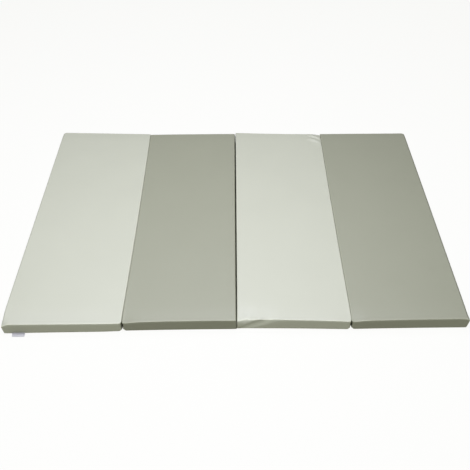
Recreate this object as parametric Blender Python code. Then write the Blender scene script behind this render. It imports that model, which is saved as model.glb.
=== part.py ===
"""A folding baby play mat, lying open: four filled pads with sewn folds between them, and a label.

Metres, +Z up. The long side runs along X and the front edge faces -Y. The mat lies on z = 0, and
its footprint, with the label, is centred on the origin.
"""

from collections import namedtuple
from math import cos, exp, hypot, pi, radians, sin, tan

import bmesh
import bpy
from mathutils import Matrix, Vector

# Driving dimensions
MAT_WIDTH = 1.398
PAD_LENGTH = 1.000
OUTER_PAD_WIDTH = 0.3535
PIECE_GAP = 0.0003          # between pieces that touch
CROWN = 0.0020              # how far a pad's middle rises above its front and back edges
CROWN_REACH = 0.028         # how far in from those edges the rise is felt
DRAW_IN = 0.0007            # how far the front and back edges pull in between the corners
Y_SHIFT = 0.0052            # centres the footprint once the label is counted

# Rounding and mesh density of a pad
CORNER = 0.012              # size of the zone that a pad's upright corners take
ARC_STEPS = 3               # steps in a rounded edge and in half of a corner
TUCK = 0.003                # a wall's last stretch under its rounded upper edge
RECESS_EASE = 0.3           # share of its own height that a ring keeps above a hinge's recess
SIDE_CUTS = (0.022, 0.042, 0.080)
MIDDLE_CUTS_X = 3
MIDDLE_CUTS_Y = 9
STRIP_CUTS = 10
LEAST = 1e-6                # lengths below this count as nothing

# Seams, hinge and label
COVER_THICKNESS = 0.0012
SEAM_DEPTH = 0.011
SEAM_TOP = 0.0325
SEAM_SHORT = 0.008          # a seam or hinge stops this far inside the pads' ends
HINGE_WIDTH = 0.023
HINGE_THICKNESS = 0.0010
HINGE_RECESS = HINGE_THICKNESS + PIECE_GAP
LABEL_ROOT = (-0.6741, -0.6353)
LABEL_TIP = (-0.6721, -0.6362)
LABEL_ROOT_Y = -0.5040
LABEL_TIP_Y = -0.5165
LABEL_THICKNESS = 0.0010

# Panel 3's slack corner, at its front left
CREASE_LENGTH = 0.058       # along the front, where the crease runs out at the top
CREASE_LOW = 0.027          # the crease's height at the corner
CREASE_DEPTH = 0.0030
CREASE_WIDTH = 0.0045
CREASE_LEAN = 0.45          # how far the cover falls back above the crease
CREASE_REACH = 0.014        # how far back from the front the cover is slack
BELLY_DROP = 0.011          # the slack cover bulges this far under the crease
BELLY_WIDTH = 0.0077
BELLY = 0.0018
CORNER_SINK = 0.0025        # how far the corner's top has sunk
SINK_REACH = 0.030
CREASE_CUTS = (0.017, 0.027, 0.034, 0.049, 0.057, 0.066)
CREASE_RINGS = 5

# A line across the mat from front to back: its place on the long side, how far its front and
# back ends stray from that place, and how far its middle bows towards +X.
Line = namedtuple("Line", "x front_shift back_shift bow")
FOLD_X = MAT_WIDTH / 2 - OUTER_PAD_WIDTH
LINES = {
    "left_edge": Line(-MAT_WIDTH / 2, 0.0008, -0.0005, 0.0),
    "fold_1_2": Line(-FOLD_X, 0.0014, 0.0006, 0.0028),
    "fold_2_3": Line(0.0, -0.0007, -0.0003, 0.0),
    "fold_3_4": Line(FOLD_X, -0.0012, 0.0026, -0.0018),
    "right_edge": Line(MAT_WIDTH / 2, 0.0014, -0.0014, 0.0),
}

# A kind of side. The insets are measured from the side's line at four heights of the wall:
# where it leaves the floor, half way up, under the upper edge, and at the upper edge.
Side = namedtuple("Side", "floor_radius top_radius low middle high top roundness")
SIDES = {
    "outer": Side(0.0030, 0.0032, 0.0003, 0.0, 0.0002, 0.0004, 1.0),
    "joined_at_top": Side(0.0080, 0.0040, 0.0016, 0.0014, 0.0012, 0.00015, 0.5),
    "joined_at_floor": Side(0.0020, 0.0032, 0.00015, 0.0011, 0.0018, 0.0021, 0.6),
}

# A pad: its two lines and kinds of side, its cover, its height at its left side, middle and
# right side, and how far each end of its front and back edges stands out from a true rectangle.
Pad = namedtuple(
    "Pad",
    "name left_line right_line left_side right_side cover left_height middle_height right_height"
    " front_left front_right back_left back_right slack",
)
PADS = (
    Pad("panel_1", "left_edge", "fold_1_2", "outer", "joined_at_top", "off_white",
        0.0480, 0.0443, 0.0392, 0.0050, 0.0018, 0.0026, 0.0034, False),
    Pad("panel_2", "fold_1_2", "fold_2_3", "joined_at_top", "joined_at_floor", "sage_grey",
        0.0392, 0.0418, 0.0425, -0.0022, -0.0042, -0.0003, -0.0008, False),
    Pad("panel_3", "fold_2_3", "fold_3_4", "joined_at_floor", "joined_at_top", "off_white",
        0.0435, 0.0405, 0.0390, -0.0075, 0.0010, 0.0053, 0.0010, True),
    Pad("panel_4", "fold_3_4", "right_edge", "joined_at_top", "outer", "sage_grey",
        0.0390, 0.0413, 0.0423, 0.0000, -0.0018, 0.0019, 0.0002, False),
)

# Each cover's colour, roughness and metallic value
Finish = namedtuple("Finish", "colour roughness metallic")
FINISHES = {
    "off_white": Finish((0.76, 0.77, 0.70), 0.55, 0.0),
    "sage_grey": Finish((0.42, 0.44, 0.35), 0.55, 0.0),
    "label_white": Finish((0.72, 0.72, 0.74), 0.85, 0.0),
}


def mix(start, end, amount):
    return start + (end - start) * amount


def bump(distance, width):
    """A smooth hump, 1 at no distance and near 0 past the width."""
    return exp(-((distance / width) ** 2))


def clear_scene():
    for old in list(bpy.data.objects):
        bpy.data.objects.remove(old)


def make_collection(name):
    collection = bpy.data.collections.new(name)
    bpy.context.scene.collection.children.link(collection)
    return collection


def make_material(name):
    finish = FINISHES[name]
    material = bpy.data.materials.new(name)
    material.use_nodes = True
    shader = material.node_tree.nodes["Principled BSDF"]
    shader.inputs["Base Color"].default_value = (*finish.colour, 1.0)
    shader.inputs["Roughness"].default_value = finish.roughness
    shader.inputs["Metallic"].default_value = finish.metallic
    return material


def add_object(name, bm, material, collection, parent, place):
    """Makes an object of a mesh that is in the mat's coordinates, with its origin at a place."""
    bmesh.ops.translate(bm, verts=bm.verts, vec=-place)
    bmesh.ops.recalc_face_normals(bm, faces=bm.faces)
    mesh = bpy.data.meshes.new(name)
    bm.to_mesh(mesh)
    bm.free()
    mesh.shade_smooth()
    mesh.set_sharp_from_angle(angle=radians(45))
    mesh.materials.append(material)
    piece = bpy.data.objects.new(name, mesh)
    collection.objects.link(piece)
    piece.parent = parent
    piece.location = place + Vector((0.0, Y_SHIFT, 0.0))
    return piece


def line_x(line, y):
    """Where a line across the mat lies at a given y."""
    along = y / PAD_LENGTH + 0.5
    stray = mix(line.front_shift, line.back_shift, along)
    return line.x + stray + line.bow * (sin(pi * along) - 0.5)


def cut_box(low, high, cuts):
    """A box with its faces cut across each axis at the given places."""
    bm = bmesh.new()
    bmesh.ops.create_cube(bm, size=1.0)
    size = Vector(high) - Vector(low)
    middle = (Vector(high) + Vector(low)) / 2
    stretch = Matrix.Diagonal((*size, 1.0))
    bmesh.ops.transform(bm, matrix=Matrix.Translation(middle) @ stretch, verts=bm.verts)
    for axis, places in enumerate(cuts):
        normal = Vector((0.0, 0.0, 0.0))
        normal[axis] = 1.0
        for place in places:
            everything = bm.verts[:] + bm.edges[:] + bm.faces[:]
            bmesh.ops.bisect_plane(
                bm, geom=everything, plane_co=normal * place, plane_no=normal, dist=LEAST
            )
    return bm


def zone_cuts():
    """Distances from a side at which a pad is cut to round its upright corners evenly."""
    step = radians(45) / ARC_STEPS
    return [CORNER * (1 - tan(step * i)) for i in range(ARC_STEPS)]


def cuts_across(size, near_cuts, far_cuts, middle_count):
    """Cuts across a pad, close together near its two sides and even between them."""
    near = sorted(near_cuts)
    far = sorted(size - cut for cut in far_cuts)
    gap = (far[0] - near[-1]) / (middle_count + 1)
    between = [near[-1] + gap * (i + 1) for i in range(middle_count)]
    return near + between + far


def wall_rings(side, height, middle_rings):
    """The rings of a wall as (height, inset), from the floor ring up to the top ring."""
    rings = []
    quarter = pi / 2
    for step in range(ARC_STEPS + 1):
        angle = quarter * step / ARC_STEPS
        rise = side.floor_radius * (1 - cos(angle))
        rings.append((rise, side.low + side.floor_radius * (1 - sin(angle))))
    lowest = side.floor_radius
    highest = height - side.top_radius - TUCK
    for step in range(1, middle_rings + 1):
        part = step / (middle_rings + 1)
        bulge = 4 * part * (1 - part)
        straight = mix(side.low, side.high, part)
        inset = mix(straight, side.middle, bulge)
        rings.append((mix(lowest, highest, part), inset))
    rings.append((highest, side.high))
    for step in range(ARC_STEPS + 1):
        angle = quarter * step / ARC_STEPS
        drop = side.top_radius * (1 - sin(angle))
        rings.append((height - drop, side.top + side.top_radius * (1 - cos(angle))))
    return rings


def pad_height(pad, across):
    """The height of a pad's edge, on a curve through its three stated heights."""
    left = pad.left_height * 2 * (across - 0.5) * (across - 1)
    middle = pad.middle_height * 4 * across * (1 - across)
    right = pad.right_height * 2 * across * (across - 0.5)
    return left + middle + right


def crown(from_front, from_back):
    edge_distance = min(from_front, from_back)
    return CROWN * (1 - bump(edge_distance, CROWN_REACH))


def in_corner(distance):
    """How far into the corner zone a point is: 0 at its inner limit, 1 on the side itself."""
    return max(0.0, 1 - distance / CORNER)


def round_corner(across, along, roundness):
    """Draws a square corner's points in towards a quarter circle."""
    if across == 0 or along == 0:
        return across, along
    draw = mix(1.0, max(across, along) / hypot(across, along), roundness)
    return across * draw, along * draw


def floor_height(pad, from_left, from_right):
    """The underside's height: it is raised where the floor hinge runs under it."""
    over_left_hinge = pad.left_side == "joined_at_floor" and from_left <= CORNER + LEAST
    over_right_hinge = pad.right_side == "joined_at_floor" and from_right <= CORNER + LEAST
    return HINGE_RECESS if over_left_hinge or over_right_hinge else 0.0


def slacken(point, height):
    """Moves a point of panel 3 to where its slack corner's cover has sagged and creased."""
    fade = 1 - point.x / CREASE_LENGTH
    if fade <= 0:
        return
    above = point.z - mix(height, CREASE_LOW, fade)
    set_back = CREASE_LEAN * max(0.0, above)
    if point.z < height - LEAST:
        set_back += CREASE_DEPTH * bump(above, CREASE_WIDTH) * min(1.0, fade * 2)
        set_back -= BELLY * bump(above + BELLY_DROP, BELLY_WIDTH) * fade
    point.y += set_back * bump(point.y, CREASE_REACH)
    point.z -= CORNER_SINK * fade * bump(point.y, SINK_REACH) * (point.z / height)


def place_pad_point(pad, width, rings_across, rings_along, source):
    """Turns a point of the cut box into a point of the pad. The box's z counts the rings."""
    top_level = len(rings_across[0]) - 1
    level = round(source.z)
    from_left, from_right = source.x, width - source.x
    from_front, from_back = source.y, PAD_LENGTH - source.y
    left_nearer = from_left < from_right
    front_nearer = from_front < from_back
    side = SIDES[pad.left_side if left_nearer else pad.right_side]
    ring_x = rings_across[0 if left_nearer else 1][level]
    ring_y = rings_along[level]
    deep_x = in_corner(min(from_left, from_right))
    deep_y = in_corner(min(from_front, from_back))
    round_x, round_y = round_corner(deep_x, deep_y, side.roundness)
    x = min(from_left, from_right)
    y = min(from_front, from_back)
    if deep_x > 0:
        x = CORNER - round_x * (CORNER - ring_x[1])
    if deep_y > 0:
        y = CORNER - round_y * (CORNER - ring_y[1])
    y += DRAW_IN * sin(pi * source.x / width) * deep_y
    point = Vector((x if left_nearer else width - x, y if front_nearer else PAD_LENGTH - y, 0.0))

    share_x = deep_x ** 2 / max(deep_x ** 2 + deep_y ** 2, LEAST)
    wall_z = mix(ring_y[0], ring_x[0], share_x)
    edge_height = pad_height(pad, point.x / width)
    local_height = edge_height + crown(point.y, PAD_LENGTH - point.y)
    lowest = floor_height(pad, from_left, from_right)
    if level == top_level:
        point.z = local_height
    elif level == 0:
        point.z = lowest
    else:
        point.z = max(wall_z * local_height / pad.middle_height, lowest + wall_z * RECESS_EASE)
    if pad.slack:
        slacken(point, local_height)
    return point


def warp_pad_point(pad, width, point):
    """Moves a point of a rectangular pad to the pad's real outline on the mat."""
    across = point.x / width
    along = point.y / PAD_LENGTH
    front = -PAD_LENGTH / 2 - mix(pad.front_left, pad.front_right, across)
    back = PAD_LENGTH / 2 + mix(pad.back_left, pad.back_right, across)
    y = mix(front, back, along)
    left = line_x(LINES[pad.left_line], y)
    right = line_x(LINES[pad.right_line], y)
    return Vector((mix(left, right, across), y, point.z))


def flatten_underside(bm):
    """Joins the underside's flat faces into one, and fans it out from its middle."""
    under = [face for face in bm.faces if all(v.co.z < LEAST for v in face.verts)]
    joined = bmesh.ops.dissolve_faces(bm, faces=under, use_verts=True)["region"]
    bmesh.ops.poke(bm, faces=joined)


def make_pad(pad, materials, collection, parent):
    left, right = LINES[pad.left_line], LINES[pad.right_line]
    width = right.x - left.x
    middle_rings = CREASE_RINGS if pad.slack else 1
    rings_across = [
        wall_rings(SIDES[kind], pad.middle_height, middle_rings)
        for kind in (pad.left_side, pad.right_side)
    ]
    rings_along = wall_rings(SIDES["outer"], pad.middle_height, middle_rings)
    side_cuts = [*zone_cuts(), *SIDE_CUTS]
    near_cuts = side_cuts + list(CREASE_CUTS) if pad.slack else side_cuts
    x_cuts = cuts_across(width, near_cuts, side_cuts, MIDDLE_CUTS_X)
    y_cuts = cuts_across(PAD_LENGTH, side_cuts, side_cuts, MIDDLE_CUTS_Y)
    levels = len(rings_along) - 1
    bm = cut_box((0, 0, 0), (width, PAD_LENGTH, levels), (x_cuts, y_cuts, range(1, levels)))
    for vertex in bm.verts:
        shaped = place_pad_point(pad, width, rings_across, rings_along, vertex.co)
        vertex.co = warp_pad_point(pad, width, shaped)
    flatten_underside(bm)
    place = Vector(((left.x + right.x) / 2, 0.0, 0.0))
    return add_object(pad.name, bm, materials[pad.cover], collection, parent, place)


def follow_line(bm, line):
    """Bends a strip that was made straight along Y so that it follows a line across the mat."""
    for vertex in bm.verts:
        vertex.co.x += line_x(line, vertex.co.y)


def strip_ends(left_pad, right_pad):
    """Where a strip between two pads starts and ends, a little inside both of them."""
    front = -PAD_LENGTH / 2 - min(left_pad.front_right, right_pad.front_left)
    back = PAD_LENGTH / 2 + min(left_pad.back_right, right_pad.back_left)
    return front + SEAM_SHORT, back - SEAM_SHORT


def make_strip(name, pads, width, low_z, high_z, material, collection, parent):
    """A strip of cover that runs along the fold between two pads."""
    front, back = strip_ends(*pads)
    cuts = [mix(front, back, (i + 1) / (STRIP_CUTS + 1)) for i in range(STRIP_CUTS)]
    bm = cut_box((-width / 2, front, low_z), (width / 2, back, high_z), ((), cuts, ()))
    line = LINES[pads[0].right_line]
    follow_line(bm, line)
    return add_object(name, bm, material, collection, parent, Vector((line.x, 0.0, 0.0)))


def make_seam(name, pads, material, collection, parent):
    """The seam of two covers, turned down between the walls of a fold that is joined at the top."""
    low_z = SEAM_TOP - SEAM_DEPTH
    return make_strip(
        name, pads, COVER_THICKNESS, low_z, SEAM_TOP, material, collection, parent
    )


def make_hinge(name, pads, material, collection, parent):
    """The flat strip under a fold that is joined at the floor."""
    return make_strip(
        name, pads, HINGE_WIDTH, 0.0, HINGE_THICKNESS, material, collection, parent
    )


def make_label(material, collection, parent):
    """The blank label, sewn in under the front edge of panel 1 and lying on the floor."""
    low = (0.0, LABEL_TIP_Y, 0.0)
    high = (1.0, LABEL_ROOT_Y, LABEL_THICKNESS)
    bm = cut_box(low, high, ((0.25, 0.5, 0.75), (mix(LABEL_TIP_Y, LABEL_ROOT_Y, 0.5),), ()))
    for vertex in bm.verts:
        inward = (vertex.co.y - LABEL_TIP_Y) / (LABEL_ROOT_Y - LABEL_TIP_Y)
        left = mix(LABEL_TIP[0], LABEL_ROOT[0], inward)
        right = mix(LABEL_TIP[1], LABEL_ROOT[1], inward)
        vertex.co.x = mix(left, right, vertex.co.x)
    place = Vector((mix(*LABEL_ROOT, 0.5), LABEL_ROOT_Y, 0.0))
    return add_object("label", bm, material, collection, parent, place)


def main():
    clear_scene()
    collection = make_collection("play_mat")
    materials = {name: make_material(name) for name in FINISHES}
    mat = bpy.data.objects.new("mat", None)
    collection.objects.link(mat)
    for pad in PADS:
        make_pad(pad, materials, collection, mat)
    grey = materials["sage_grey"]
    make_seam("seam_1_2", PADS[0:2], grey, collection, mat)
    make_hinge("hinge_2_3", PADS[1:3], grey, collection, mat)
    make_seam("seam_3_4", PADS[2:4], grey, collection, mat)
    make_label(materials["label_white"], collection, mat)


main()
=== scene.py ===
from collections import namedtuple
from math import cos, exp, hypot, pi, radians, sin, tan

import bpy
from mathutils import Matrix, Vector, noise


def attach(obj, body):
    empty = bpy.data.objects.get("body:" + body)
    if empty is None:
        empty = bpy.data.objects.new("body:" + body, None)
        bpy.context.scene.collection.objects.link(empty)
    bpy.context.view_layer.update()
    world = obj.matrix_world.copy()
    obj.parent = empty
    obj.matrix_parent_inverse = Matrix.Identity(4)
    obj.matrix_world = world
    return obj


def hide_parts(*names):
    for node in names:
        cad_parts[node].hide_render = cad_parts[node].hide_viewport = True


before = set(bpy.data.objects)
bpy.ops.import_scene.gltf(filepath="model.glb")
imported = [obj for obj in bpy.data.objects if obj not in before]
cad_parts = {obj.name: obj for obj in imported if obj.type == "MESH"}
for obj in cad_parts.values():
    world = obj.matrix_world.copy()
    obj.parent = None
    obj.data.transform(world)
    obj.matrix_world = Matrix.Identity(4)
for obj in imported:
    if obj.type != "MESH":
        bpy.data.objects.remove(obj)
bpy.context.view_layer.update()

# The mat's main sizes, in metres
MAT_WIDTH = 1.398
PAD_LENGTH = 1.000
OUTER_PAD_WIDTH = 0.3535
FOLD_X = MAT_WIDTH / 2 - OUTER_PAD_WIDTH
Y_SHIFT = 0.0052            # centres the footprint once the label is counted
CROWN = 0.0020              # how far a pad's middle rises above its front and back edges
CROWN_REACH = 0.028
CORNER = 0.012              # size of the zone that a pad's upright corners take
TUCK = 0.003                # a wall's last stretch under its rounded upper edge
PIECE_GAP = 0.0003
HINGE_THICKNESS = 0.0010
HINGE_RECESS = HINGE_THICKNESS + PIECE_GAP
RECESS_EASE = 0.3           # share of its own height that a ring keeps above a hinge's recess
LEAST = 1e-6                # lengths and shares below this count as nothing

# Panel 3's slack corner, at its front left. The top sags, a crease runs up from the floor at the
# corner to the top edge, the cover over the crease leans back, and a soft belly lies under it.
CORNER_SAG = 0.0056
CORNER_SAG_FROM = 0.034
CORNER_SAG_LENGTH = 0.034
EDGE_SAG = 0.0050
EDGE_SAG_FROM = 0.088
EDGE_SAG_LENGTH = 0.046
SAG_REACH = 0.042
SLACK_REACH = 2 * SAG_REACH  # the front face is slack up to this far back from its edge
BACK_SAG = 0.0045           # how far its back right corner sags
BACK_SAG_REACH = 0.022
CREASE_LENGTH = 0.052
CREASE_HEIGHT = 0.0268
CREASE_CURVE = 0.85
CREASE_LOWEST = 0.016       # under this height the cover over the crease doesn't lean back
CREASE_REACH = 0.018
LEAN_BEND = 66.0            # how quickly the slope grows over the crease, per metre
LEAN_X = 0.034
LEAN_WIDTH = 0.029
BELLY = 0.0043
BELLY_UNDER = 0.0260        # how far under the crease the belly starts
BELLY_HEIGHT = 0.021
PINCH = 0.0006
PINCH_HEIGHT = 0.009
EDGE_ROLL = 0.0048
EDGE_ROLL_LENGTH = 0.075
BELLY_HIGHLIGHT = 0.6             # how strongly a highlight is painted on the belly under the crease
BELLY_HIGHLIGHT_WIDTH = BELLY_HEIGHT / 3
BELLY_HIGHLIGHT_TO = 4.4 * BELLY_UNDER  # how far along the front the belly is pale
CREASE_SHADE = 0.34              # how strongly shade is painted along the crease itself
CREASE_SHADE_WIDTH = 0.0028
CREASE_SHADE_FROM = CREASE_LOWEST / 2  # under this height the crease's painted shade fades out
PAINTED_MARK_REACH = CREASE_REACH / 2  # how far back from the front edge the belly's painted highlight and the crease's painted shade reach

# Mesh density of a pad: steps in each rounded edge, the longest step near and far from a side, and
# the places at which a wall is cut between its foot and its upper edge, as shares of that height
ARC_STEPS = 6
CORNER_STEPS = 8
NEAR_STEP = 0.003
NEAR_REACH = 0.070
FAR_STEP = 0.006
WALL_PARTS = (0.02, 0.04, 0.06, 0.08, 0.11, 0.16, 0.23, 0.31, 0.39, 0.47, 0.55, 0.63, 0.71, 0.79,
              0.86, 0.92, 0.96)

# The lower seam's groove, and the welt that the upper seam's allowance raises
SEAM_GROOVE = 0.0005
SEAM_ABOVE_ARC = 0.0014
SEAM_WIDTH = 0.0007
WELT = 0.00018
WELT_IN = 0.0052
WELT_WIDTH = 0.0013

# The cover's unevenness: the height of each kind of rise, and the size of its patches
SOFTNESS = 0.0004
SOFT_PATCH = 0.11
PUCKER = 0.00022
PUCKER_PATCH = 0.022
PUCKER_IN = 0.007
PUCKER_WIDTH = 0.008
WALL_SOFTNESS = 0.0003
WALL_PATCH = 0.05
EDGE_CALM = 0.020           # the top is calm this near to its edges, apart from the puckers
FOOT_CALM = 0.008           # a wall is calm this near to the floor
PAD_SEED = 7.3              # sets the pads' patches apart from each other
FRONT_SEED = 4.1            # sets a front wall's patches apart from the back wall's

# How round the mat's front corners are at their foot and at the top, and how large the part is
# that their tips pull out and down
FOOT_ROUNDNESS = 0.15
TOP_ROUNDNESS = 0.10
TIP_REACH = 0.012

# How far the dip of a pad's front edge, the drop of its front corners and the set-back of its foot
# reach
DIP_REACH = 0.040
DROP_REACH = 0.030
FOOT_BACK_REACH = 0.045

# How much closer the pads of the middle fold stand near the front
GAP_CLOSE = 0.0006
GAP_CLOSE_REACH = 0.12

# The notch at the floor where the ends of two pads meet under an upper seam: how far it goes into
# the pad on its left and on its right, and how round the pads' upright corners are above it
NOTCH_LEFT = 0.0050
NOTCH_RIGHT = 0.0064
NOTCH_HEIGHT = 0.0085
NOTCH_REACH = 0.013
NOTCH_ROUNDNESS = 0.65

# Light and shade painted on the cover: how strongly shade is painted on the back upper edge, as a
# negative mark, how wide the painted marks of the upper edges are, and how high the painted contact
# shadow at the floor is
BACK_RIM_SHADE = -0.45
PAINTED_RIM_WIDTH = 0.0026
FOOT_SHADOW_HEIGHT = 0.0028

# A wrinkle in the top of a pad: from where to where on the mat, how wide and how high it is. Its
# ends are blunter than a sine's.
WRINKLE_END_POWER = 0.7
Wrinkle = namedtuple("Wrinkle", "node start end width height")
WRINKLES = (
    Wrinkle("panel_3", (0.3465, 0.4680), (0.2980, 0.5010), 0.0085, 0.0054),
    Wrinkle("panel_3", (0.3465, 0.4370), (0.2960, 0.4740), 0.0085, 0.0046),
    Wrinkle("panel_3", (0.3440, 0.4200), (0.3080, 0.4400), 0.0060, 0.0009),
    Wrinkle("panel_4", (0.6960, -0.4985), (0.6800, -0.4900), 0.0034, 0.0007),
    Wrinkle("panel_4", (0.6930, -0.5020), (0.6760, -0.4985), 0.0030, -0.0005),
    Wrinkle("panel_1", (-0.6900, -0.1200), (-0.6780, -0.1000), 0.0045, 0.0005),
    Wrinkle("panel_1", (-0.6900, -0.0500), (-0.6760, -0.0350), 0.0045, 0.0005),
    Wrinkle("panel_1", (-0.6900, 0.1500), (-0.6770, 0.1650), 0.0045, 0.0005),
)

# The thin pieces: the turned-down seams of the upper folds, the lower hinge and the label
SEAM_SHORT = 0.008          # a seam stops this far inside the pads' ends
HINGE_SHORT = 0.0015
SEAM_POCKET = 0.0010        # how far each wall gives way to the seam beside it
COVER_THICKNESS = 0.0012
SEAM_DEPTH = 0.011
SEAM_TOP = 0.0325
SEAM_WAVE = 0.00015
SEAM_STITCH_DOWN = 0.007
HINGE_WIDTH = 0.023
HINGE_STITCH_IN = 0.0042
STITCH_PITCH = 0.0042
STITCH_STEPS = 4
STITCH_WIDTH = 0.0007
STITCH_PINCH = 0.00022
SEAM_CUTS = 12
HINGE_CUTS = 30
LABEL_ROOT = (-0.6741, -0.6353)
LABEL_TIP = (-0.6721, -0.6362)
LABEL_ROOT_Y = -0.5040
LABEL_TIP_Y = -0.5165
LABEL_THICKNESS = 0.0010
LABEL_CUTS = (40, 16)
LABEL_FRAY = 0.00018
LABEL_FRAY_PATCH = 0.0015
LABEL_FOLD = 0.0009
LABEL_RISE = 0.0042         # the root is this high, where the cover's lower seam holds it
LABEL_FALL = 0.0026         # how far in front of the root the label comes down to the floor

# A line across the mat from front to back: its place on the long side, how far its front and
# back ends stray from that place, and how far its middle bows towards +X.
Line = namedtuple("Line", "x front_shift back_shift bow")
LINES = {
    "left_edge": Line(-MAT_WIDTH / 2, 0.0010, 0.0, 0.0),
    "fold_1_2": Line(-FOLD_X, 0.0013, -0.0006, 0.0028),
    "fold_2_3": Line(-0.0007, -0.0007, -0.0003, 0.0),
    "fold_3_4": Line(FOLD_X, -0.0014, 0.0021, -0.0018),
    "right_edge": Line(MAT_WIDTH / 2, 0.0010, -0.0022, 0.0),
}

# A kind of side. Its foot is rounded off over a width and a height. The insets are measured from
# the side's line at four heights of the wall: where it leaves the foot, half way up, under the
# upper edge, and at the upper edge. The roundness says how round its upright corners are in plan.
Side = namedtuple("Side", "foot_width foot_height top_radius low middle high top roundness")
SIDES = {
    "outer": Side(0.0030, 0.0030, 0.0028, 0.0003, 0.0, 0.0002, 0.0004, 1.0),
    "joined_at_top": Side(0.0020, 0.0020, 0.0022, 0.0003, 0.0005, 0.0002, 0.00015, 0.1),
    "joined_at_floor": Side(0.0020, 0.0020, 0.0032, 0.00015, 0.0005, 0.0012, 0.0018, 0.1),
}

# A pad: its CAD node, its two lines and kinds of side, its material slot, its height at its left
# side, middle and right side, how far each end of its front and back edges stands out, how strongly
# a highlight is painted on its upper edge on the left and right, or shade where that is negative,
# and whether its front left corner is slack.
Pad = namedtuple(
    "Pad",
    "node left_line right_line left_side right_side slot left_height middle_height right_height"
    " front_left front_right back_left back_right left_rim right_rim slack",
)
PADS = (
    Pad("panel_1", "left_edge", "fold_1_2", "outer", "joined_at_top", "off_white_cover",
        0.0480, 0.0443, 0.0392, 0.0040, 0.0014, 0.0026, 0.0034, -0.6, 0.2, False),
    Pad("panel_2", "fold_1_2", "fold_2_3", "joined_at_top", "joined_at_floor", "grey_cover",
        0.0392, 0.0418, 0.0425, -0.0022, -0.0042, -0.0003, -0.0008, 0.1, -0.3, False),
    Pad("panel_3", "fold_2_3", "fold_3_4", "joined_at_floor", "joined_at_top", "off_white_cover",
        0.0435, 0.0405, 0.0390, -0.0070, 0.0010, 0.0053, 0.0010, 0.2, 0.3, True),
    Pad("panel_4", "fold_3_4", "right_edge", "joined_at_top", "outer", "grey_cover",
        0.0390, 0.0413, 0.0423, 0.0000, -0.0018, 0.0019, 0.0002, 0.2, -4.0, False),
)

# How a pad's front differs from a straight box: how far its upper edge dips at its left end,
# middle and right end, how far the corners drop beyond that, how far the tip of the mat's corner
# is pulled out and down, how far the foot of its right end is set back, and how far its middle is
# drawn in.
Front = namedtuple(
    "Front",
    "dip_left dip_middle dip_right drop_left drop_right tip_out tip_down foot_back draw_in",
)
FRONTS = {
    "panel_1": Front(0.0068, 0.0058, 0.0010, 0.0, 0.0, 0.0022, 0.0060, 0.0020, 0.0007),
    "panel_2": Front(0.0012, 0.0012, 0.0018, 0.0040, 0.0, 0.0, 0.0, 0.0, 0.0007),
    "panel_3": Front(0.0, 0.0002, 0.0010, 0.0, 0.0018, 0.0, 0.0, 0.0, 0.0012),
    "panel_4": Front(0.0012, 0.0014, 0.0006, 0.0036, 0.0, 0.0032, 0.0010, 0.0, 0.0007),
}

# The camera, fitted to the mat's corners, folds and front faces. Its picture is square.
LENS = 50.04
SENSOR_WIDTH = 36.0
CAMERA_PLACE = (-0.00582, -1.75932, 1.54881)
PITCH_DOWN = radians(42.449)
YAW_RIGHT = radians(1.851)
ROLL = radians(0.888)
SHIFT_X = -0.0323

# A lamp: its place, what it aims at, its size and its power in watts. The lamps are slightly cool
# and the covers warm, so faces lit by the neutral floor look warmer.
LAMP_COLOUR = (1.0, 1.0, 1.18)
Lamp = namedtuple("Lamp", "name place aim size power")
LAMPS = (
    Lamp("key", (-0.14, 1.1, 2.6), (0.0, 0.0, 0.0), (2.2, 1.4), 20.8),
    Lamp("overhead", (-0.14, -0.6, 2.6), (-0.14, -0.5, 0.0), (1.8, 1.2), 55.5),
)
WORLD_COLOUR = (1.0, 1.0, 1.05, 1.0)
WORLD_STRENGTH = 0.098

# The floor glows slightly, so that it is as white as the photo's
FLOOR_SIZE = 16.0
FLOOR_COLOUR = (0.05, 0.05, 0.05, 1.0)
FLOOR_GLOW_COLOUR = (1.0, 1.0, 0.98, 1.0)
FLOOR_GLOW = 0.642

# Colours, and how much paler or darker a cover's painted highlights and painted shade, and the
# patches in a colour, make it
OFF_WHITE = (0.485, 0.497, 0.380)
SAGE_GREY = (0.325, 0.333, 0.239)
LABEL_WHITE = (0.50, 0.50, 0.47)
PAINTED_LIGHT_FACTORS = {"painted_highlight": 1.22, "painted_shade": 0.72}
CLOUD_FACTORS = (0.985, 1.015)
SLUB_FACTORS = (0.85, 1.15)


def mix(start, end, amount):
    return start + (end - start) * amount


def bump(distance, width):
    """A smooth hump, 1 at no distance and near 0 past the width."""
    return exp(-((distance / width) ** 2))


def line_x(line, y):
    """Where a line across the mat lies at a given y."""
    along = y / PAD_LENGTH + 0.5
    stray = mix(line.front_shift, line.back_shift, along)
    return line.x + stray + line.bow * (sin(pi * along) - 0.5)


# Pads

def even_steps(start, end, longest):
    """Places between a start and an end, without them, that are no further apart than asked."""
    count = int((end - start) / longest) + 1
    return [mix(start, end, i / count) for i in range(1, count)]


def side_cuts():
    """Distances from a side at which a pad's surface is cut, close together near the side."""
    step = radians(45) / CORNER_STEPS
    zone = sorted(CORNER * (1 - tan(step * i)) for i in range(CORNER_STEPS))
    return zone + even_steps(CORNER, NEAR_REACH, NEAR_STEP) + [NEAR_REACH]


def cuts_across(size):
    """All the places at which a pad is cut across one of its sides, both ends included."""
    near = side_cuts()
    far = [size - cut for cut in reversed(near)]
    return [0.0, *near, *even_steps(near[-1], far[0], FAR_STEP), *far, size]


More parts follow.
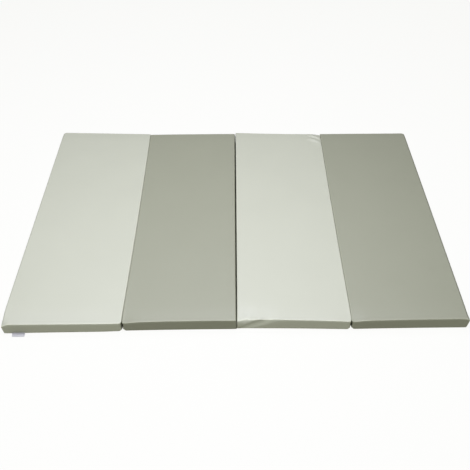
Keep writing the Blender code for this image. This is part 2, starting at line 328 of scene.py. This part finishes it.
def wall_rings(side, height):
    """The rings of a wall as (height, inset), from the floor ring up to the top ring."""
    rings = []
    quarter = pi / 2
    for step in range(ARC_STEPS + 1):
        share = step / ARC_STEPS
        rise = side.foot_height * (1 - cos(quarter * share))
        rings.append((rise, side.low + side.foot_width * (1 - sin(quarter * share))))
    lowest = side.foot_height
    highest = height - side.top_radius - TUCK
    for part in WALL_PARTS:
        rise = mix(lowest, highest, part)
        inset = mix(mix(side.low, side.high, part), side.middle, 4 * part * (1 - part))
        inset += SEAM_GROOVE * bump(rise - lowest - SEAM_ABOVE_ARC, SEAM_WIDTH)
        if side is SIDES["joined_at_top"]:
            inset += SEAM_POCKET * bump(rise - SEAM_TOP + SEAM_DEPTH / 2, SEAM_DEPTH)
        rings.append((rise, inset))
    rings.append((highest, side.high))
    rings.append((highest + TUCK / 2, mix(side.high, side.top, 0.5)))
    for step in range(ARC_STEPS + 1):
        angle = quarter * step / ARC_STEPS
        drop = side.top_radius * (1 - sin(angle))
        rings.append((height - drop, side.top + side.top_radius * (1 - cos(angle))))
    return rings


def curve(left, middle, right, across):
    """A smooth curve through three values, at a place from 0 on the left to 1 on the right."""
    at_ends = left * (1 - across) - right * across
    return at_ends * (1 - 2 * across) + middle * 4 * across * (1 - across)


def crown(from_front, from_back):
    """How much higher a pad's top lies at a place than at its front and back edges."""
    edge_distance = min(from_front, from_back)
    return CROWN * (1 - bump(edge_distance, CROWN_REACH))


def front_dip(pad, from_left, from_right, from_front):
    """How much lower a pad's top lies near its front edge and front corners."""
    front = FRONTS[pad.node]
    across = from_left / (from_left + from_right)
    dip = curve(front.dip_left, front.dip_middle, front.dip_right, across)
    drop = front.drop_left * bump(from_left, DROP_REACH)
    drop += front.drop_right * bump(from_right, DROP_REACH)
    return (dip + drop) * bump(from_front, DIP_REACH)


def in_corner(distance):
    """How far into the corner zone a point is: 0 at its inner limit, 1 on the side itself."""
    return max(0.0, 1 - distance / CORNER)


def round_corner(across, along, roundness):
    """Draws a square corner's points in towards a quarter circle."""
    if across == 0 or along == 0:
        return across, along
    draw = mix(1.0, max(across, along) / hypot(across, along), roundness)
    return across * draw, along * draw


def floor_height(pad, from_left, from_right):
    """The underside's height: it is raised where the floor hinge runs under it."""
    over_left_hinge = pad.left_side == "joined_at_floor" and from_left <= CORNER + LEAST
    over_right_hinge = pad.right_side == "joined_at_floor" and from_right <= CORNER + LEAST
    return HINGE_RECESS if over_left_hinge or over_right_hinge else 0.0


def roll(point, height, radius):
    """Rounds the front upper edge to a larger radius."""
    in_front, above = radius - point.y, point.z - (height - radius)
    reach = hypot(in_front, above)
    if in_front > 0 and above > 0 and reach > radius:
        point.y = radius - in_front * radius / reach
        point.z = height - radius + above * radius / reach


def smooth_step(share):
    """Rises softly from 0 to 1 while the share does."""
    share = min(1.0, max(0.0, share))
    return share * share * (3 - 2 * share)


def sag(x, y, from_right, from_back):
    """How far the top of panel 3 sags at its slack corner, and at the back corner across."""
    corner = CORNER_SAG * (1 - smooth_step((x - CORNER_SAG_FROM) / CORNER_SAG_LENGTH))
    edge = EDGE_SAG * (1 - smooth_step((x - EDGE_SAG_FROM) / EDGE_SAG_LENGTH))
    back = BACK_SAG * bump(from_right, BACK_SAG_REACH) * bump(from_back, BACK_SAG_REACH)
    return (corner + edge) * bump(y, SAG_REACH) + back


def over_crease(x, z):
    """How high over the crease of panel 3 a place on its front face is."""
    return z - CREASE_HEIGHT * (max(0.0, x) / CREASE_LENGTH) ** CREASE_CURVE


def lean(x, z):
    """How far the slack cover of panel 3's front face is set back at a place on that face."""
    over = over_crease(x, z)
    belly = smooth_step((over + BELLY_UNDER) / BELLY_HEIGHT)
    belly -= smooth_step((over - z + BELLY_UNDER) / BELLY_HEIGHT)
    pinch = smooth_step(over / PINCH_HEIGHT + 0.5)
    bend = LEAN_BEND * bump(x - LEAN_X, LEAN_WIDTH)
    leaning = max(0.0, min(over, z - CREASE_LOWEST))
    return bend * leaning ** 2 / 2 + BELLY * belly - PINCH * pinch


def slack_painted_light(x, y, z):
    """How strongly a highlight is painted on panel 3's belly and shade along its crease at a place.
    """
    over = over_crease(x, z)
    near = bump(max(0.0, y), PAINTED_MARK_REACH)
    belly = bump(over + BELLY_UNDER - BELLY_HEIGHT / 2, BELLY_HIGHLIGHT_WIDTH)
    belly *= smooth_step((BELLY_HIGHLIGHT_TO - x) / BELLY_UNDER)
    crease = bump(over, CREASE_SHADE_WIDTH) * smooth_step(z / CREASE_SHADE_FROM)
    return BELLY_HIGHLIGHT * belly * near, CREASE_SHADE * crease * near


def slacken(point, height):
    """Moves a point of panel 3 to where the cover of its slack corner lies."""
    if point.y < SLACK_REACH:
        roll(point, height, mix(EDGE_ROLL, LEAST, smooth_step(point.x / EDGE_ROLL_LENGTH)))
        point.y += lean(point.x, point.z) * bump(max(0.0, point.y), CREASE_REACH)


def patchy(x, y, patch, seed):
    """Smooth unevenness between -1 and 1, in patches of about the given size."""
    return noise.noise((x / patch, y / patch, seed))


def painted_rim_mask(side, level, top_level, edge_distance):
    """How much a point belongs to the upper edge's painted mark, a highlight or a shade as the pad's
    factor says: 1 half way round that edge.
    """
    arc = side.top_radius * pi / 2
    if level == top_level:
        away = arc / 2 + max(0.0, edge_distance - side.top - side.top_radius)
    else:
        away = arc * abs((top_level - level) / ARC_STEPS - 0.5)
    return bump(away, PAINTED_RIM_WIDTH)


# A place on a pad before it is shaped: its distances from the pad's sides and ends, which of them
# are nearer, the nearer kind of side, how deep in the corner zone it is, the level of its ring,
# the level of the top ring, and how high up the wall the ring is, as a share of the pad's height.
Spot = namedtuple(
    "Spot",
    "from_left from_right from_front from_back left_nearer front_nearer side deep_x deep_y level"
    " top_level share_up",
)


def make_spot(pad, width, rings_along, across, along, level):
    """The spot at a place on a pad's rectangle and a level of its rings."""
    from_left, from_right = across, width - across
    from_front, from_back = along, PAD_LENGTH - along
    left_nearer = from_left < from_right
    return Spot(
        from_left, from_right, from_front, from_back, left_nearer, from_front < from_back,
        SIDES[pad.left_side if left_nearer else pad.right_side],
        in_corner(min(from_left, from_right)), in_corner(min(from_front, from_back)),
        level, len(rings_along) - 1, rings_along[level][0] / pad.middle_height,
    )


def corner_roundness(spot):
    """How round the upright corner near a spot is in plan."""
    if spot.front_nearer and spot.side is SIDES["outer"]:
        return mix(FOOT_ROUNDNESS, TOP_ROUNDNESS, min(1.0, spot.share_up))
    if spot.front_nearer and spot.side is SIDES["joined_at_top"]:
        return NOTCH_ROUNDNESS
    return spot.side.roundness


def notch(spot, height):
    """How far the notch under an upper seam cuts into a pad's side at a height."""
    if spot.side is not SIDES["joined_at_top"]:
        return 0.0
    near_end = bump(min(spot.from_front, spot.from_back), NOTCH_REACH)
    depth = NOTCH_RIGHT if spot.left_nearer else NOTCH_LEFT
    return depth * max(0.0, 1 - height / NOTCH_HEIGHT) * near_end


def closed_gap(spot):
    """How much closer the wall of the middle fold stands, most at the top of its front end."""
    if spot.side is not SIDES["joined_at_floor"]:
        return 0.0
    return GAP_CLOSE * bump(spot.from_front, GAP_CLOSE_REACH) * spot.share_up


def foot_set_back(front, spot):
    """How far the foot of a front wall is set back near its right end."""
    if not spot.front_nearer:
        return 0.0
    return front.foot_back * bump(spot.from_right, FOOT_BACK_REACH) * (1 - spot.share_up)


def tip_pull(spot, x, y):
    """How strongly the tip of the mat's front corner is pulled out and down at a point near it."""
    if not spot.front_nearer or spot.side is not SIDES["outer"]:
        return 0.0
    return bump(hypot(x, y), TIP_REACH) * min(1.0, spot.share_up)


def top_height(pad, width, spot, point, pull):
    """The height of a pad's top over a point, without its fine unevenness."""
    height = curve(pad.left_height, pad.middle_height, pad.right_height, point.x / width)
    height += crown(point.y, PAD_LENGTH - point.y)
    height -= front_dip(pad, spot.from_left, spot.from_right, point.y)
    height -= FRONTS[pad.node].tip_down * pull
    if pad.slack:
        height -= sag(point.x, point.y, spot.from_right, spot.from_back)
    return height


def top_unevenness(point, edge_distance, seed):
    """How far the welt, the soft patches and the puckers raise a pad's top at a point."""
    calm = bump(edge_distance, EDGE_CALM)
    pucker = bump(edge_distance - PUCKER_IN, PUCKER_WIDTH)
    rise = WELT * bump(edge_distance - WELT_IN, WELT_WIDTH)
    rise += SOFTNESS * patchy(point.x, point.y, SOFT_PATCH, seed) * (1 - calm)
    return rise + PUCKER * patchy(point.x, point.y, PUCKER_PATCH, seed) * pucker


def wall_unevenness(spot, point, seed):
    """How far the soft patches move a point of a front or back wall."""
    if spot.deep_y <= spot.deep_x:
        return 0.0
    wall_seed = seed + (FRONT_SEED if spot.front_nearer else 0.0)
    bulge = WALL_SOFTNESS * patchy(point.x, point.z, WALL_PATCH, wall_seed)
    return bulge * (1 - bump(point.z, FOOT_CALM)) * spot.deep_y * (1 - spot.deep_x)


def painted_cover_light(pad, spot, point, side_nearer, edge_distance, lowest):
    """How strongly highlight and shade are painted on a pad's cover at a point."""
    at_side = spot.deep_x > spot.deep_y
    edge = spot.side if at_side else SIDES["outer"]
    painted_rim = painted_rim_mask(edge, spot.level, spot.top_level, edge_distance)
    if side_nearer:
        painted_rim *= pad.left_rim if spot.left_nearer else pad.right_rim
    elif not spot.front_nearer:
        painted_rim *= BACK_RIM_SHADE
    # A highlight is painted on the upper edge where its mark is positive, and shade where it is
    # negative.
    painted_highlight = max(0.0, painted_rim)
    # A contact shadow is painted along the foot, and the upper edge's negative mark adds painted
    # shade.
    painted_shade = bump(point.z - lowest, FOOT_SHADOW_HEIGHT) - min(0.0, painted_rim)
    # Shade is painted over the walls inside the folds, below their upper edges.
    shaded_in_fold = at_side and spot.side is not SIDES["outer"]
    if shaded_in_fold and spot.level < spot.top_level - ARC_STEPS:
        painted_shade = 1.0
    if pad.slack:
        # Panel 3's slack corner adds a painted highlight on its belly and painted shade along its
        # crease.
        slack_highlight, slack_shade = slack_painted_light(point.x, spot.from_front, point.z)
        painted_highlight += slack_highlight
        painted_shade += slack_shade
    return painted_highlight, painted_shade


def place_pad_point(pad, width, rings_across, rings_along, across, along, level):
    """The point of a pad at a place on its rectangle and a level of its rings, and the highlight and
    shade painted on it.
    """
    spot = make_spot(pad, width, rings_along, across, along, level)
    front = FRONTS[pad.node]
    height_x, inset_x = rings_across[0 if spot.left_nearer else 1][level]
    height_y, inset_y = rings_along[level]
    x = min(spot.from_left, spot.from_right)
    y = min(spot.from_front, spot.from_back)
    round_x, round_y = round_corner(spot.deep_x, spot.deep_y, corner_roundness(spot))
    if spot.deep_x > 0:
        x = CORNER - round_x * (CORNER - inset_x)
    if spot.deep_y > 0:
        y = CORNER - round_y * (CORNER - inset_y)
    x += (notch(spot, height_y) - closed_gap(spot)) * spot.deep_x
    y += (front.draw_in * sin(pi * across / width) + foot_set_back(front, spot)) * spot.deep_y
    edge_distance = min(x, y)
    side_nearer = x < y
    pull = tip_pull(spot, x, y)
    x -= front.tip_out * pull
    y -= front.tip_out * pull
    x = x if spot.left_nearer else width - x
    y = y if spot.front_nearer else PAD_LENGTH - y
    point = Vector((x, y, 0.0))

    share_x = spot.deep_x ** 2 / max(spot.deep_x ** 2 + spot.deep_y ** 2, LEAST)
    wall_z = mix(height_y, height_x, share_x)
    height = top_height(pad, width, spot, point, pull)
    lowest = floor_height(pad, spot.from_left, spot.from_right)
    seed = PADS.index(pad) * PAD_SEED
    if level == spot.top_level:
        point.z = height + top_unevenness(point, edge_distance, seed)
    elif level == 0:
        point.z = lowest
    else:
        point.z = max(wall_z * height / pad.middle_height, lowest + wall_z * RECESS_EASE)
        point.y += wall_unevenness(spot, point, seed)
    if pad.slack:
        slacken(point, height)
    return point, painted_cover_light(pad, spot, point, side_nearer, edge_distance, lowest)


def wrinkle_height(node, x, y):
    """How far the wrinkles of a pad raise its top at a place on the mat."""
    rise = 0.0
    for wrinkle in WRINKLES:
        if wrinkle.node != node:
            continue
        start, end = Vector(wrinkle.start), Vector(wrinkle.end)
        run = end - start
        along = (Vector((x, y)) - start).dot(run) / run.length_squared
        if 0 < along < 1:
            away = (Vector((x, y)) - start - run * along).length
            rise += wrinkle.height * bump(away, wrinkle.width) * sin(pi * along) ** WRINKLE_END_POWER
    return rise


def warp_pad_point(pad, width, point):
    """Moves a point of a rectangular pad to the pad's real outline on the mat."""
    across = point.x / width
    along = point.y / PAD_LENGTH
    front = -PAD_LENGTH / 2 - mix(pad.front_left, pad.front_right, across)
    back = PAD_LENGTH / 2 + mix(pad.back_left, pad.back_right, across)
    y = mix(front, back, along)
    left = line_x(LINES[pad.left_line], y)
    right = line_x(LINES[pad.right_line], y)
    return Vector((mix(left, right, across), y + Y_SHIFT, point.z))


def shell_of_quads(counts, place):
    """A closed box of quads. place gives a corner's point from its three counts."""
    last = [count - 1 for count in counts]
    found = {}
    points = []
    faces = []

    def corner(*at):
        if at not in found:
            found[at] = len(points)
            points.append(place(*at))
        return found[at]

    for axis in range(3):
        first, second = (axis + 1) % 3, (axis + 2) % 3
        for end in (0, last[axis]):
            for i in range(last[first]):
                for j in range(last[second]):
                    ring = []
                    for step in ((0, 0), (1, 0), (1, 1), (0, 1)):
                        at = [0, 0, 0]
                        at[axis] = end
                        at[first] = i + step[0]
                        at[second] = j + step[1]
                        ring.append(corner(*at))
                    faces.append(ring if end else ring[::-1])
    return points, faces


def make_piece(name, points, faces, material):
    mesh = bpy.data.meshes.new(name)
    mesh.from_pydata(points, [], faces)
    mesh.validate()
    mesh.shade_smooth()
    mesh.materials.append(material)
    piece = bpy.data.objects.new(name, mesh)
    bpy.context.scene.collection.objects.link(piece)
    return piece


def make_pad(pad, material):
    """A filled pad in place of its solid, with the painted highlight and shade that colour its
    cover.
    """
    width = LINES[pad.right_line].x - LINES[pad.left_line].x
    xs = cuts_across(width)
    ys = cuts_across(PAD_LENGTH)
    rings_across = [
        wall_rings(SIDES[kind], pad.middle_height) for kind in (pad.left_side, pad.right_side)
    ]
    rings_along = wall_rings(SIDES["outer"], pad.middle_height)

    painted_marks = {"painted_highlight": [], "painted_shade": []}
    top_level = len(rings_along) - 1

    def place(i, j, k):
        shaped, (painted_highlight, painted_shade) = place_pad_point(
            pad, width, rings_across, rings_along, xs[i], ys[j], k
        )
        painted_marks["painted_highlight"].append(painted_highlight)
        painted_marks["painted_shade"].append(painted_shade)
        point = warp_pad_point(pad, width, shaped)
        if k == top_level:
            point.z += wrinkle_height(pad.node, point.x, point.y)
        return point

    points, faces = shell_of_quads((len(xs), len(ys), len(rings_along)), place)
    piece = make_piece("filled_" + pad.node, points, faces, material)
    for name, values in painted_marks.items():
        piece.data.attributes.new(name, "FLOAT", "POINT").data.foreach_set("value", values)
    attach(piece, "root")
    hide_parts(pad.node)


# Thin pieces

def make_thin_piece(node, counts, place, material):
    """A thin piece in place of its solid."""
    points, faces = shell_of_quads(counts, place)
    piece = make_piece("sewn_" + node, points, faces, material)
    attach(piece, "root")
    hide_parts(node)


def strip_ends(left_pad, right_pad, short):
    """Where a strip between two pads starts and ends, a little inside both of them."""
    front = -PAD_LENGTH / 2 - min(left_pad.front_right, right_pad.front_left)
    back = PAD_LENGTH / 2 + min(left_pad.back_right, right_pad.back_left)
    return front + short, back - short


def stitch(distance, y):
    """How tightly a row of stitches pulls at a point: 1 in the middle of each stitch."""
    return bump(distance, STITCH_WIDTH) * (0.5 - 0.5 * cos(2 * pi * y / STITCH_PITCH))


def strip_cuts(front, back):
    return int((back - front) / STITCH_PITCH * STITCH_STEPS)


def make_seam(node, left_pad, right_pad, material):
    """Two covers sewn together and turned down between two pads, with the row of stitches."""
    front, back = strip_ends(left_pad, right_pad, SEAM_SHORT)
    line = LINES[left_pad.right_line]
    along = strip_cuts(front, back)

    def place(i, j, k):
        y = mix(front, back, j / along)
        down = SEAM_DEPTH * (1 - k / SEAM_CUTS)
        half = COVER_THICKNESS / 2 - STITCH_PINCH * stitch(down - SEAM_STITCH_DOWN, y)
        sway = SEAM_WAVE * patchy(y, down, WALL_PATCH, line.x)
        x = line_x(line, y) + sway + (half if i else -half)
        return Vector((x, y + Y_SHIFT, SEAM_TOP - down))

    make_thin_piece(node, (2, along + 1, SEAM_CUTS + 1), place, material)


def make_hinge(node, left_pad, right_pad, material):
    """The strip of cover under the middle fold, with a row of stitches near each side."""
    front, back = strip_ends(left_pad, right_pad, HINGE_SHORT)
    line = LINES[left_pad.right_line]
    along = strip_cuts(front, back)

    def place(i, j, k):
        y = mix(front, back, j / along)
        from_middle = HINGE_WIDTH * (i / HINGE_CUTS - 0.5)
        from_side = HINGE_WIDTH / 2 - abs(from_middle)
        pinch = STITCH_PINCH * stitch(from_side - HINGE_STITCH_IN, y)
        z = HINGE_THICKNESS - pinch if k else pinch
        return Vector((line_x(line, y) + from_middle, y + Y_SHIFT, z))

    make_thin_piece(node, (HINGE_CUTS + 1, along + 1, 2), place, material)


def make_label(material):
    """The blank woven label: a folded tape with its fold in front, sewn in under panel 1."""
    length = LABEL_ROOT_Y - LABEL_TIP_Y
    across_cuts, along_cuts = LABEL_CUTS

    def place(i, j, k):
        across = i / across_cuts
        inward = j / along_cuts
        left = mix(LABEL_TIP[0], LABEL_ROOT[0], inward)
        right = mix(LABEL_TIP[1], LABEL_ROOT[1], inward)
        y = mix(LABEL_TIP_Y, LABEL_ROOT_Y, inward)
        x = mix(left, right, across)
        if i in (0, across_cuts):
            x += LABEL_FRAY * patchy(y, x, LABEL_FRAY_PATCH, 0.0)
        from_fold = min(1.0, inward * length / LABEL_FOLD)
        half = LABEL_THICKNESS / 2 * (1 - (1 - from_fold) ** 2) ** 0.5
        lift = LABEL_RISE * bump(LABEL_ROOT_Y - y, LABEL_FALL)
        return Vector((x, y + Y_SHIFT, LABEL_THICKNESS / 2 + lift + (half if k else -half)))

    make_thin_piece("label", (across_cuts + 1, along_cuts + 1, 2), place, material)


# Materials

def new_material(name):
    material = bpy.data.materials.new(name)
    material.use_nodes = True
    return material, material.node_tree.nodes, material.node_tree.links


def add_node(nodes, kind, **settings):
    """A shader node. Settings in capitals are its inputs, and the others its own properties."""
    node = nodes.new(kind)
    for name, value in settings.items():
        if name[0].isupper():
            node.inputs[name.replace("_", " ")].default_value = value
        else:
            setattr(node, name, value)
    return node


def tinted(colour, factor):
    return (*(channel * factor for channel in colour), 1.0)


def blend_to(nodes, links, colour, factor, other):
    """A node that mixes a colour output with a fixed colour, as much as the factor output says."""
    blend = add_node(nodes, "ShaderNodeMix", data_type="RGBA")
    links.new(factor, blend.inputs["Factor"])
    links.new(colour, blend.inputs["A"])
    blend.inputs["B"].default_value = other
    return blend.outputs["Result"]


def make_leatherette(name, colour):
    """A coated cover with a fine pebbled grain, a cloudy colour, and the pads' painted highlights
    and shade.
    """
    material, nodes, links = new_material(name)
    shader = nodes["Principled BSDF"]
    place = add_node(nodes, "ShaderNodeTexCoord").outputs["Object"]
    cloud = add_node(nodes, "ShaderNodeTexNoise", Scale=7.0, Detail=3.0)
    links.new(place, cloud.inputs["Vector"])
    tint = add_node(nodes, "ShaderNodeMix", data_type="RGBA")
    tint.inputs["A"].default_value = tinted(colour, CLOUD_FACTORS[0])
    tint.inputs["B"].default_value = tinted(colour, CLOUD_FACTORS[1])
    links.new(cloud.outputs["Fac"], tint.inputs["Factor"])
    shade = tint.outputs["Result"]
    # The pads' attributes paint highlights paler and shade darker into the colour.
    for mark, factor in PAINTED_LIGHT_FACTORS.items():
        spread = add_node(nodes, "ShaderNodeAttribute", attribute_name=mark).outputs["Fac"]
        shade = blend_to(nodes, links, shade, spread, tinted(colour, factor))
    links.new(shade, shader.inputs["Base Color"])

    pebbles = add_node(nodes, "ShaderNodeTexVoronoi", Scale=900.0)
    creases = add_node(nodes, "ShaderNodeTexNoise", Scale=260.0, Detail=4.0)
    relief = add_node(nodes, "ShaderNodeMix", data_type="FLOAT", Factor=0.35)
    links.new(place, pebbles.inputs["Vector"])
    links.new(place, creases.inputs["Vector"])
    links.new(pebbles.outputs["Distance"], relief.inputs["A"])
    links.new(creases.outputs["Fac"], relief.inputs["B"])
    grain = add_node(nodes, "ShaderNodeBump", Strength=0.25, Distance=0.00015)
    links.new(relief.outputs["Result"], grain.inputs["Height"])
    links.new(grain.outputs["Normal"], shader.inputs["Normal"])

    sheen = add_node(nodes, "ShaderNodeMapRange", To_Min=0.46, To_Max=0.54)
    links.new(cloud.outputs["Fac"], sheen.inputs["Value"])
    links.new(sheen.outputs["Result"], shader.inputs["Roughness"])
    return material


def make_label_cloth(name, colour):
    """Woven tape: two crossing sets of threads, and a few slubs."""
    material, nodes, links = new_material(name)
    shader = nodes["Principled BSDF"]
    place = add_node(nodes, "ShaderNodeTexCoord").outputs["Object"]
    threads = []
    for direction in ("X", "Y"):
        wave = add_node(nodes, "ShaderNodeTexWave", bands_direction=direction, Scale=700.0)
        links.new(place, wave.inputs["Vector"])
        threads.append(wave.outputs["Fac"])
    weave = add_node(nodes, "ShaderNodeMath", operation="MULTIPLY")
    links.new(threads[0], weave.inputs[0])
    links.new(threads[1], weave.inputs[1])
    slubs = add_node(nodes, "ShaderNodeTexNoise", Scale=400.0, Detail=2.0)
    links.new(place, slubs.inputs["Vector"])
    tint = add_node(nodes, "ShaderNodeMix", data_type="RGBA")
    tint.inputs["A"].default_value = tinted(colour, SLUB_FACTORS[0])
    tint.inputs["B"].default_value = tinted(colour, SLUB_FACTORS[1])
    links.new(slubs.outputs["Fac"], tint.inputs["Factor"])
    links.new(tint.outputs["Result"], shader.inputs["Base Color"])
    grain = add_node(nodes, "ShaderNodeBump", Strength=0.5, Distance=0.0001)
    links.new(weave.outputs["Value"], grain.inputs["Height"])
    links.new(grain.outputs["Normal"], shader.inputs["Normal"])
    shader.inputs["Roughness"].default_value = 0.85
    return material


# Floor, light and camera

def make_floor():
    bpy.ops.mesh.primitive_plane_add(size=FLOOR_SIZE, location=(0, 0, 0))
    floor = bpy.context.object
    floor.name = "floor"
    material, nodes, _ = new_material("floor")
    shader = nodes["Principled BSDF"]
    shader.inputs["Base Color"].default_value = FLOOR_COLOUR
    shader.inputs["Roughness"].default_value = 1.0
    shader.inputs["Specular IOR Level"].default_value = 0.0
    shader.inputs["Emission Color"].default_value = FLOOR_GLOW_COLOUR
    shader.inputs["Emission Strength"].default_value = FLOOR_GLOW
    floor.data.materials.append(material)


def make_lamp(lamp):
    data = bpy.data.lights.new(lamp.name, "AREA")
    data.shape = "RECTANGLE"
    data.size, data.size_y = lamp.size
    data.energy = lamp.power
    data.color = LAMP_COLOUR
    light = bpy.data.objects.new(lamp.name, data)
    light.location = lamp.place
    towards = Vector(lamp.aim) - Vector(lamp.place)
    light.rotation_euler = towards.to_track_quat("-Z", "Y").to_euler()
    bpy.context.scene.collection.objects.link(light)


def make_lights():
    for lamp in LAMPS:
        make_lamp(lamp)
    world = bpy.data.worlds.new("studio")
    world.use_nodes = True
    background = world.node_tree.nodes["Background"]
    background.inputs["Color"].default_value = WORLD_COLOUR
    background.inputs["Strength"].default_value = WORLD_STRENGTH
    bpy.context.scene.world = world


def make_camera():
    ahead = Vector((sin(YAW_RIGHT), cos(YAW_RIGHT), 0.0))
    right = Vector((cos(YAW_RIGHT), -sin(YAW_RIGHT), 0.0))
    up = Vector((0.0, 0.0, 1.0))
    view_out = cos(PITCH_DOWN) * ahead - sin(PITCH_DOWN) * up
    view_up = sin(PITCH_DOWN) * ahead + cos(PITCH_DOWN) * up
    frame_right = cos(ROLL) * right + sin(ROLL) * view_up
    frame_up = cos(ROLL) * view_up - sin(ROLL) * right
    data = bpy.data.cameras.new("camera")
    data.lens = LENS
    data.sensor_width = SENSOR_WIDTH
    data.shift_x = SHIFT_X
    camera = bpy.data.objects.new("camera", data)
    turn = Matrix((frame_right, frame_up, -view_out)).transposed().to_4x4()
    camera.matrix_world = Matrix.Translation(CAMERA_PLACE) @ turn
    bpy.context.scene.collection.objects.link(camera)
    bpy.context.scene.camera = camera


def main():
    make_camera()
    covers = {
        "off_white_cover": make_leatherette("off_white_leatherette", OFF_WHITE),
        "grey_cover": make_leatherette("grey_leatherette", SAGE_GREY),
    }
    for pad in PADS:
        make_pad(pad, covers[pad.slot])
    make_seam("seam_1_2", PADS[0], PADS[1], covers["grey_cover"])
    make_hinge("hinge_2_3", PADS[1], PADS[2], covers["grey_cover"])
    make_seam("seam_3_4", PADS[2], PADS[3], covers["grey_cover"])
    make_label(make_label_cloth("label_cloth", LABEL_WHITE))
    make_floor()
    make_lights()
    bpy.context.scene.view_settings.view_transform = "Standard"
    bpy.context.scene.view_settings.look = "High Contrast"


main()
bpy.context.view_layer.update()
